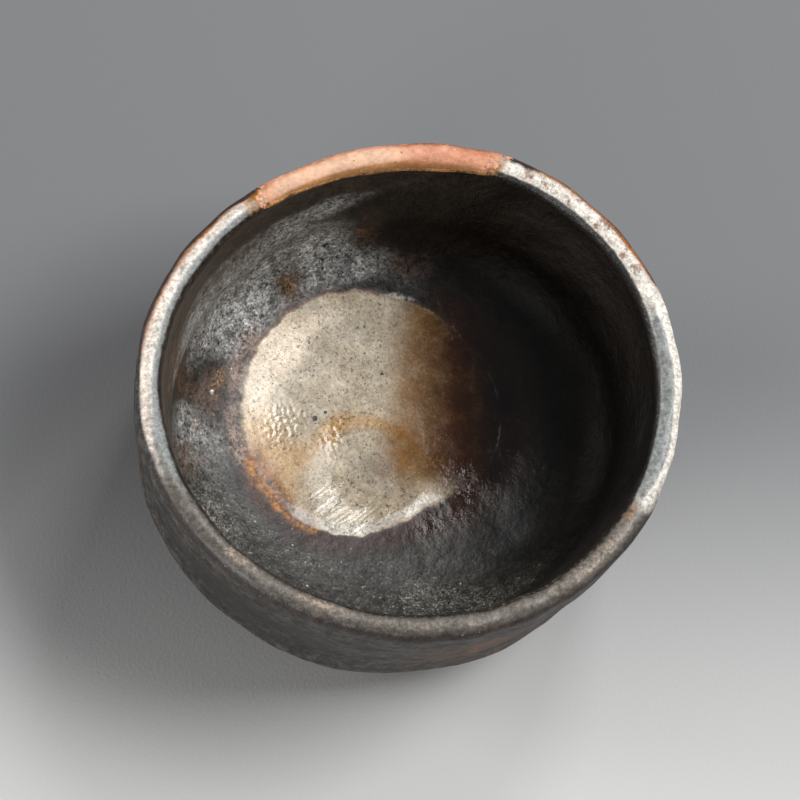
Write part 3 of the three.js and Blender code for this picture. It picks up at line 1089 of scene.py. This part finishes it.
@dataclass
class BowlPiece:
    """One piece of the bowl: a closed surface over a grid, dressed and tied to the frame."""

    firing: Firing
    node: str
    slot: Slot
    finish: Finish
    row_close: Close = Close.LOOP
    column_close: Close = Close.LOOP

    @property
    def skin(self) -> Skin:
        """The bowl's finished surface."""
        return self.firing.skin

    @property
    def lines(self) -> EdgeLines:
        """Where the coats stop."""
        return self.firing.lines

    def shape(self) -> tuple[Grid, Grid, Grid]:
        """Grids of points, in millimetres, and of their distance along the section and angle."""
        raise NotImplementedError

    def build(self) -> bpy.types.Object:
        """Makes the mesh with its masks, dresses it and puts it in the node's place.

        Returns:
            The finished object.
        """
        points, distance, angle = self.shape()
        places = with_middles(points, self.row_close) * MM
        faces = grid_faces(points.shape[0], points.shape[1], self.row_close, self.column_close)
        mesh = bpy.data.meshes.new(self.node)
        mesh.from_pydata(places, [], faces)
        mesh.calc_loop_triangles()
        numbers = np.empty(len(mesh.loop_triangles) * 3, dtype=np.int32)
        mesh.loop_triangles.foreach_get("vertices", numbers)
        first, second, third = places[numbers].reshape(-1, 3, 3).transpose(1, 0, 2)
        if np.einsum("ij,ij->", first, np.cross(second, third)) < 0:
            mesh.flip_normals()
        masks = self.firing.masks(distance, angle)
        for name in sorted(self.finish.mask_names()):
            held = np.clip(masks[name], 0, STRONGEST_MASK)
            values = with_middles(held, self.row_close).astype(np.float32)
            mesh.attributes.new(name, "FLOAT", "POINT").data.foreach_set("value", values)
        mesh.shade_smooth()
        mesh.materials.append(self.finish.build())
        piece = bpy.data.objects.new(f"bowl_{self.node}", mesh)
        bpy.context.scene.collection.objects.link(piece)
        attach(piece, ROOT_BODY)
        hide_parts(self.node)
        log.info("%s: %d triangles", piece.name, len(numbers) // 3)
        return piece


@dataclass
class GlazeCoat(BowlPiece):
    """A coat of glaze between two wandering edges of the skin.

    The face is the skin plus a lift, and the back follows it at the coat's depth. Towards both edges
    the back rises to the face, so that the coat ends in a feather edge on whatever lies under it.
    """

    rows: int = 150
    back_rows: int = 10
    columns: int = 480
    depth: float = 0.7
    proud: float = 0.0
    edge_proud: float = 0.0
    margin: float = 1.6
    edge_thickness: float = 0.012

    def edges(self, angle: Grid) -> tuple[Grid, Grid]:
        """Distances along the section at which the coat starts and ends, for each angle."""
        raise NotImplementedError

    def angles(self, share: Grid) -> Grid:
        """Angle of each point of the grid; a full turn unless a coat says otherwise."""
        return np.broadcast_to(full_turn(self.columns), (share.shape[0], self.columns))

    def inset(self, distance: Grid, angle: Grid) -> Grid:
        """How far each point lies inside the coat's nearest edge, in millimetres."""
        first, last = self.edges(angle)
        return np.minimum(distance - first, last - distance)

    def relief(self, distance: Grid, angle: Grid) -> Grid:
        """Unevenness of the coat's face beyond what the clay under it has."""
        return np.zeros_like(distance)

    def shape(self) -> tuple[Grid, Grid, Grid]:
        """The face from its first edge to its last, then the back the other way.

        Returns:
            Points, distances along the section and angles.
        """
        going = np.linspace(0, 1, self.rows)
        coming = np.linspace(1, 0, self.back_rows + 2)[1:-1]
        share = np.concatenate([going, coming])[:, None]
        is_back = (np.arange(len(share)) >= self.rows)[:, None]
        angle = self.angles(share)
        first, last = self.edges(angle)
        distance = first + (last - first) * share
        inside = smooth_step(self.inset(distance, angle) / self.margin)
        uneven = clay_relief(self.skin, distance, angle)
        raised = self.proud - self.edge_proud + self.relief(distance, angle)
        sunk = self.edge_thickness - self.edge_proud - self.depth
        face = self.edge_proud + raised * inside
        back = self.edge_proud - self.edge_thickness + sunk * inside
        return self.skin.place(distance, angle, uneven + np.where(is_back, back, face)), distance, angle


@dataclass
class Lining(GlazeCoat):
    """The dark coat of the inside wall, tucked under the pool below and the lip's glaze above."""

    tuck_under_pool: float = 1.2
    tuck_under_lip: float = 1.2

    def edges(self, angle: Grid) -> tuple[Grid, Grid]:
        """From under the pool to just under the lip's glaze; it stops short at the bare stretch."""
        top = self.lines.lining_top(angle) + self.tuck_under_lip
        return self.lines.pool(angle) - self.tuck_under_pool, top


@dataclass
class Pool(GlazeCoat):
    """The thick pool of glaze in the bottom: faintly domed, with a dip, ripples and wrinkles."""

    spread_over_lining: float = 1.5
    swell: float = 0.5
    rim: float = 1.2
    rim_ease: float = 3.0
    dip_depth: float = 0.7
    dip_flat: float = 0.55
    dip_ease: float = 0.65
    levelled: float = 0.7
    ripples: Relief = Relief(72, 1.9, 0.9, 0.036)
    wrinkles: Relief = Relief(71, 4.0, 1.4, 0.05)
    wrinkle_stretch: float = 5.0
    wrinkle_across_deg: float = 130.0

    def edges(self, angle: Grid) -> tuple[Grid, Grid]:
        """From the middle of the floor to a little way onto the lining."""
        return np.full_like(angle, FIRST_RING_MM), self.lines.pool(angle) + self.spread_over_lining

    def inset(self, distance: Grid, angle: Grid) -> Grid:
        """How far each point lies inside the pool's only edge."""
        return self.edges(angle)[1] - distance

    def relief(self, distance: Grid, angle: Grid) -> Grid:
        """A dome less the dip, with the clay's finger marks mostly filled.

        Ripples lie in two patches to the left. Wrinkles, which are ripples stretched one way, lie by
        the front edge.

        Args:
            distance: distance along the section, in millimetres.
            angle: angle round the axis, in radians.

        Returns:
            Heights over the clay's own unevenness, in millimetres.
        """
        share = distance / self.edges(angle)[1]
        from_rim = self.inset(distance, angle) - self.spread_over_lining - self.rim
        clear = smooth_step(from_rim / self.rim_ease)
        past_dip = (self.firing.dip_share(distance, angle) - self.dip_flat) / self.dip_ease
        dome = self.swell * (1 - share ** 2)
        dip = self.dip_depth * clear * (1 - smooth_step(past_dip))
        filled = self.levelled * clear * clay_relief(self.skin, distance, angle)
        patches = (Patch(167, 24, 5, 5), Patch(165, 12.5, 7, 3, 0.6))
        rippled = self.firing.painted(distance, angle, *patches)
        wrinkled = sector(angle, 212, 312, 24) * between(distance, 12, 23, 5)
        radius = self.skin.radius_at(distance)
        turn = angle - math.radians(self.wrinkle_across_deg)
        flat = np.stack([radius * np.cos(turn), radius * np.sin(turn), np.zeros_like(radius)], axis=-1)
        stretched = flat / [1.0, self.wrinkle_stretch, 1.0]
        fine = rippled * self.ripples.at(flat) + wrinkled * self.wrinkles.at(stretched)
        return dome - dip - filled + fine


@dataclass
class LipGlaze(GlazeCoat):
    """The pale glaze that saddles the lip and leaves one stretch bare."""

    spread: float = 0.6
    overrun_deg: float = 3.0
    end_wander_deg: float = 1.0
    end_slack: float = 1.0

    @property
    def ends_deg(self) -> tuple[float, float]:
        """The glaze's two ends, a little way onto the bare stretch."""
        start = self.lines.bare_to_deg - self.overrun_deg
        return start, self.lines.bare_from_deg + 360 + self.overrun_deg

    def angles(self, share: Grid) -> Grid:
        """From one end of the bare stretch the long way round to the other, with wandering ends.

        Args:
            share: how far along the section each row is, from 0 to 1.

        Returns:
            The angles, in radians.
        """
        start = self.ends_deg[0] + self.end_wander_deg * np.sin(5 * share + 0.5)
        end = self.ends_deg[1] + self.end_wander_deg * np.sin(6 * share + 2)
        return np.radians(start + (end - start) * np.linspace(0, 1, self.columns))

    def edges(self, angle: Grid) -> tuple[Grid, Grid]:
        """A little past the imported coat's edges on both sides."""
        return self.lines.lip_inner(angle) - self.spread, self.lines.lip_outer(angle) + self.spread

    def inset(self, distance: Grid, angle: Grid) -> Grid:
        """How far each point lies inside the nearest edge or end.

        Args:
            distance: distance along the section, in millimetres.
            angle: angle round the axis, in radians.

        Returns:
            The distances, in millimetres.
        """
        start, end = np.radians(self.ends_deg)
        ends = self.skin.lip_radius * np.minimum(angle - start, end - angle) + self.end_slack
        return np.minimum(super().inset(distance, angle), ends)


@dataclass
class OutsideCoat(GlazeCoat):
    """The dark coat of the outside wall, tucked under the lip's glaze and ending above the foot."""

    tuck_under_lip: float = 1.2
    spread_to_foot: float = 0.8
    ring_spacing: float = 6.5
    ring_height: float = 0.06
    ring_sway: float = 1.5
    facets: Relief = Relief(42, 34.0, 14.0, 0.15)
    rim: float = 1.8
    rim_ease: float = 6.0

    def edges(self, angle: Grid) -> tuple[Grid, Grid]:
        """From under the lip's glaze, or from the bare stretch, to a wandering line above the foot."""
        top = self.lines.lip_outer(angle) - self.tuck_under_lip
        return top, self.lines.outer_foot(angle) + self.spread_to_foot

    def relief(self, distance: Grid, angle: Grid) -> Grid:
        """Faint turning rings, and facets left by the fingers.

        Args:
            distance: distance along the section, in millimetres.
            angle: angle round the axis, in radians.

        Returns:
            Heights over the clay's own unevenness, in millimetres.
        """
        turns = 2 * math.pi * distance / self.ring_spacing + self.ring_sway * np.sin(angle)
        clear = smooth_step((self.inset(distance, angle) - self.rim) / self.rim_ease)
        facets = self.facets.at(self.skin.place(distance, angle))
        return clear * (self.ring_height * np.sin(turns) + facets)


@dataclass
class ClayBody(BowlPiece):
    """The stoneware under the coats: it comes up to the skin wherever it is bare."""

    rows: int = 270
    under_rows: int = 30
    columns: int = 300
    buried: float = 0.8
    bare_lift: float = -0.02
    overlap: float = 0.6
    overlap_deg: float = 1.0
    ease: float = 1.0
    ease_deg: float = 2.0
    foot_ease: float = 1.4
    underside: float = 6.3
    hub_share: float = 0.002

    def bare(self, distance: Grid, angle: Grid) -> Grid:
        """Where no coat covers the clay: at the bare stretch, and by the foot.

        Args:
            distance: distance along the section, in millimetres.
            angle: angle round the axis, in radians.

        Returns:
            1 on bare clay, easing to 0 under the coats.
        """
        below = distance - self.lines.lining_top(angle) + self.overlap
        above = self.lines.lip_outer(angle) + self.overlap - distance
        start = self.lines.bare_from_deg - self.overlap_deg
        end = self.lines.bare_to_deg + self.overlap_deg
        stretch = smooth_step(below / self.ease) * smooth_step(above / self.ease)
        stretch *= sector(angle, start, end, self.ease_deg)
        to_foot = distance - self.lines.outer_foot(angle) + self.foot_ease
        return np.maximum(stretch, smooth_step(to_foot / self.foot_ease))

    def shape(self) -> tuple[Grid, Grid, Grid]:
        """The skin, sunk where it is coated, from the middle of the floor to the skirt.

        The flat underside follows.

        Returns:
            Points, distances along the section and angles.
        """
        turn = full_turn(self.columns)
        along = np.linspace(FIRST_RING_MM, self.skin.length, self.rows)
        distance, angle = np.meshgrid(along, turn, indexing="ij")
        bare = self.bare(distance, angle)
        lift = self.bare_lift * bare - self.buried * (1 - bare)
        over = self.skin.place(distance, angle, lift + clay_relief(self.skin, distance, angle))
        reach = float(self.skin.radius_at(np.array(self.skin.length)))
        inwards = reach * np.linspace(1, self.hub_share, self.under_rows)
        radius, under_angle = np.meshgrid(inwards, turn, indexing="ij")
        under = self.skin.hand_form(radius, under_angle, np.full_like(radius, self.underside))
        under_distance = np.full_like(radius, self.skin.length)
        pairs = ((over, under), (distance, under_distance), (angle, under_angle))
        return tuple(np.concatenate(pair) for pair in pairs)


@dataclass
class FootRing(BowlPiece):
    """The turned ring that the bowl stands on: flared to the body, with eased edges on a flat face."""

    width: float = 7.0
    edge: float = 0.8
    rows_per_side: int = 24
    columns: int = 240
    mark_spacing: float = 1.4
    mark_height: float = 0.06
    mark_sway: float = 0.8
    mark_ease: float = 0.8

    def shape(self) -> tuple[Grid, Grid, Grid]:
        """A six-cornered section carried round the axis, with faint turning marks on its sides.

        Returns:
            Points, distances along the skin's section and angles.
        """
        foot = self.skin.foot_radius
        flare = self.skin.foot_flare
        top = self.skin.foot_height
        inner = foot - self.width
        corners = np.array([
            (inner + self.edge, 0), (foot - self.edge, 0), (foot, self.edge),
            (foot + flare, top), (inner - flare, top), (inner, self.edge),
        ])
        share = np.linspace(0, 1, self.rows_per_side, endpoint=False)[:, None]
        ahead = np.roll(corners, -1, axis=0)
        sides = [start + (stop - start) * share for start, stop in zip(corners, ahead)]
        section = np.concatenate(sides)
        radius, angle = np.meshgrid(section[:, 0], full_turn(self.columns), indexing="ij")
        height = np.broadcast_to(section[:, 1:], radius.shape)
        turns = 2 * math.pi * height / self.mark_spacing + self.mark_sway * np.sin(angle)
        clear = smooth_step((height - self.edge) / self.mark_ease)
        clear *= smooth_step((top - height) / self.mark_ease)
        marks = self.mark_height * np.sin(turns) * clear
        points = self.skin.hand_form(radius + marks, angle, height)
        return points, np.full_like(radius, self.skin.length), angle


@dataclass(frozen=True)
class Lamp:
    """A soft square lamp that faces the bowl. Its level is how bright it makes a white card there."""

    name: str
    azimuth_deg: float
    elevation_deg: float
    distance_mm: float
    size_mm: float
    level: float

    def build(self, target: Vector) -> bpy.types.Object:
        """Makes the lamp. Its power is pi squared, times the distance squared, times the level.

        Args:
            target: the place that the lamp faces, in metres.

        Returns:
            The lamp.
        """
        azimuth = math.radians(self.azimuth_deg)
        elevation = math.radians(self.elevation_deg)
        flat = math.cos(elevation)
        heading = Vector((math.cos(azimuth) * flat, math.sin(azimuth) * flat, math.sin(elevation)))
        light = bpy.data.lights.new(self.name, "AREA")
        light.size = self.size_mm * MM
        light.energy = (math.pi * self.distance_mm * MM) ** 2 * self.level
        lamp = bpy.data.objects.new(self.name, light)
        lamp.location = target + heading * self.distance_mm * MM
        lamp.rotation_euler = heading.to_track_quat("Z", "Y").to_euler()
        bpy.context.scene.collection.objects.link(lamp)
        return lamp


@dataclass(frozen=True)
class Studio:
    """A pale floor, soft lamps and a camera that looks down into the bowl from a little in front."""

    lamps: tuple[Lamp, ...] = (
        Lamp("key softbox", 12, 55, 1200, 550, 1.0),
        Lamp("back softbox", 66, 50, 1200, 260, 0.26),
        Lamp("low front softbox", 225, 14, 1400, 420, 0.4),
        Lamp("low left softbox", 165, 14, 1400, 420, 0.5),
    )
    fill: float = 0.15
    floor_size_mm: float = 6000
    # The floor's fade from light near to dark far is painted light falloff.
    floor_near_painted_light: str = "#c2c2c1"
    floor_far_painted_shade: str = "#727375"
    floor_light_fade_mm: tuple[float, float] = (-90, 30)
    floor_grain_mm: float = 0.8
    floor_grain_height_mm: float = 0.07
    floor_roughness: float = 0.7
    tilt_deg: float = 18.03
    turn_deg: float = 65.24
    camera_distance_mm: float = 850
    slide_mm: tuple[float, float] = (-3.11, -3.5)
    lens_mm: float = 175.4
    sensor_mm: float = 36
    nearest_mm: float = 10

    def build(self, skin: Skin) -> None:
        """Makes the lamps, floor, world and camera.

        Args:
            skin: the bowl's finished surface, whose rim the lamps and the camera face.
        """
        rim = Vector((*skin.lean, skin.height)) * MM
        for lamp in self.lamps:
            lamp.build(rim)
        self._build_floor()
        self._build_world()
        self._build_camera(rim)
        bpy.context.scene.view_settings.view_transform = "Standard"

    def _build_floor(self) -> None:
        """A flat square under the foot, whose grey fades smoothly from light near to dark far: painted
        light falloff.
        """
        half = self.floor_size_mm * MM / 2
        corners = [(-half, -half, 0), (half, -half, 0), (half, half, 0), (-half, half, 0)]
        mesh = bpy.data.meshes.new("floor")
        mesh.from_pydata(corners, [], [(0, 1, 2, 3)])
        material = bpy.data.materials.new("matt grey paper")
        material.use_nodes = True
        sheet = NodeSheet(material.node_tree)
        place = sheet.add("ShaderNodeTexCoord", {}, "Object")
        away = sheet.add("ShaderNodeSeparateXYZ", {0: place}, "Y")
        near, far = self.floor_light_fade_mm
        share = sheet.remap(away, (near * MM, far * MM), interpolation_type="SMOOTHSTEP")
        colour = sheet.mix(share, linear(self.floor_near_painted_light), linear(self.floor_far_painted_shade))
        grain = sheet.noise(place, self.floor_grain_mm, SOFT_CLOUD)
        height = self.floor_grain_height_mm * MM
        bump = sheet.add("ShaderNodeBump", {"Distance": height, "Height": grain})
        surface = sheet.add("ShaderNodeBsdfPrincipled", {
            "Base Color": colour, "Roughness": self.floor_roughness, "Normal": bump,
        })
        sheet.add("ShaderNodeOutputMaterial", {"Surface": surface})
        mesh.materials.append(material)
        floor = bpy.data.objects.new("floor", mesh)
        bpy.context.scene.collection.objects.link(floor)

    def _build_world(self) -> None:
        """An even grey dome that fills the shadows."""
        world = bpy.data.worlds.new("studio dome")
        world.use_nodes = True
        sheet = NodeSheet(world.node_tree)
        dome = sheet.add("ShaderNodeBackground", {"Color": (1, 1, 1, 1), "Strength": self.fill})
        sheet.add("ShaderNodeOutputWorld", {"Surface": dome})
        bpy.context.scene.world = world

    def _build_camera(self, rim: Vector) -> None:
        """Looks at the rim from above and a little in front, slid so that the bowl sits in its frame.

        Args:
            rim: the middle of the rim, in metres.
        """
        tilt = math.radians(self.tilt_deg)
        turn = math.radians(self.turn_deg)
        flat = -math.sin(tilt)
        back = Vector((flat * math.cos(turn), flat * math.sin(turn), math.cos(tilt)))
        right = Vector((1, 0, 0))
        right = (right - back * right.dot(back)).normalized()
        up = back.cross(right)
        camera = bpy.data.cameras.new("camera")
        camera.lens = self.lens_mm
        camera.sensor_width = self.sensor_mm
        camera.clip_start = self.nearest_mm * MM
        holder = bpy.data.objects.new("camera", camera)
        axes = Matrix((right, up, back)).transposed().to_4x4()
        slide = right * self.slide_mm[0] + up * self.slide_mm[1]
        place = rim + (back * self.camera_distance_mm + slide) * MM
        holder.matrix_world = Matrix.Translation(place) @ axes
        bpy.context.scene.collection.objects.link(holder)
        bpy.context.scene.camera = holder


def main() -> None:
    """Builds the bowl's pieces from the clay outwards, then the studio."""
    logging.basicConfig(level=logging.INFO, format="%(name)s %(message)s")
    skin = Skin()
    firing = Firing(skin, EdgeLines(skin))
    pieces = [
        ClayBody(firing, "clay_body", Slot.STONEWARE, STONEWARE, row_close=Close.FILL),
        FootRing(firing, "foot_ring", Slot.STONEWARE, STONEWARE),
        Lining(firing, "inner_glaze", Slot.LINING, LINING),
        Pool(firing, "well_glaze", Slot.POOL, POOL, row_close=Close.FILL, rows=130, columns=600,
             edge_proud=-0.04),
        LipGlaze(firing, "lip_glaze", Slot.ASH_GLAZE, ASH_GLAZE, column_close=Close.FILL, rows=40,
                 columns=900, proud=0.04, edge_proud=-0.04, margin=1.2),
        OutsideCoat(firing, "outer_glaze", Slot.OUTSIDE, OUTSIDE),
    ]
    for piece in pieces:
        piece.build()
    Studio().build(skin)


if __name__ == "__main__":
    main()
